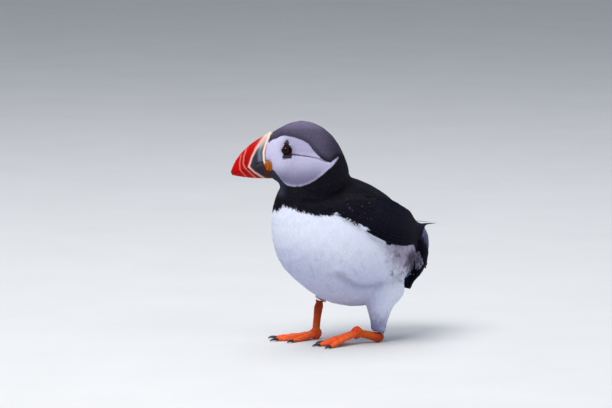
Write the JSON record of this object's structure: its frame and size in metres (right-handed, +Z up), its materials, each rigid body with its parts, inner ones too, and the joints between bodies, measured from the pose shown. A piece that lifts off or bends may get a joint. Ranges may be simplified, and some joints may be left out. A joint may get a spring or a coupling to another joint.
{
  "type": "atlantic puffin",
  "caption": "Life-size Atlantic puffin standing with its head turned sideways: deep banded bill, pale face, black collar and back, white belly and webbed orange feet.",
  "frame": {"origin": "centre of the flat patch under the ball of the right foot, at floor level", "axes": "+Z up; the body faces -Y and its left side is +X; the head is turned towards the right foot"},
  "size_m": [0.1012, 0.1897, 0.1946],
  "materials": {
    "white_plumage": "soft matte feathers with a faint cool shade",
    "black_plumage": "soft matte feathers with a faint blue sheen",
    "grey_plumage": "short matte feathers, dark on the crown and pale on the face",
    "red_horn": "satin ridged horn",
    "slate_horn": "satin horn",
    "cream_horn": "dull pitted horn",
    "orange_skin": "finely scaled skin, slightly moist",
    "yellow_skin": "wrinkled bare skin",
    "claw_horn": "smooth dark horn",
    "eye_surface": "wet and mirror smooth"
  },
  "bodies": {
    "root": {"trunk": "white_plumage", "thigh_left": "white_plumage", "thigh_right": "white_plumage", "neck": "black_plumage", "wing_left": "black_plumage", "wing_right": "black_plumage", "tail": "black_plumage", "head": "grey_plumage", "bill_upper_tip": "red_horn", "bill_lower_tip": "red_horn", "eye_ring_left": "red_horn", "eye_ring_right": "red_horn", "bill_upper_plate": "slate_horn", "bill_lower_plate": "slate_horn", "eye_plate_upper_left": "slate_horn", "eye_plate_upper_right": "slate_horn", "eye_plate_lower_left": "slate_horn", "eye_plate_lower_right": "slate_horn", "bill_cere": "cream_horn", "tarsus_left": "orange_skin", "tarsus_right": "orange_skin", "foot_left": "orange_skin", "foot_right": "orange_skin", "gape_rosette_left": "yellow_skin", "gape_rosette_right": "yellow_skin", "claw_inner_left": "claw_horn", "claw_middle_left": "claw_horn", "claw_outer_left": "claw_horn", "claw_inner_right": "claw_horn", "claw_middle_right": "claw_horn", "claw_outer_right": "claw_horn", "eye_left": "eye_surface", "eye_right": "eye_surface"}
  },
  "joints": []
}
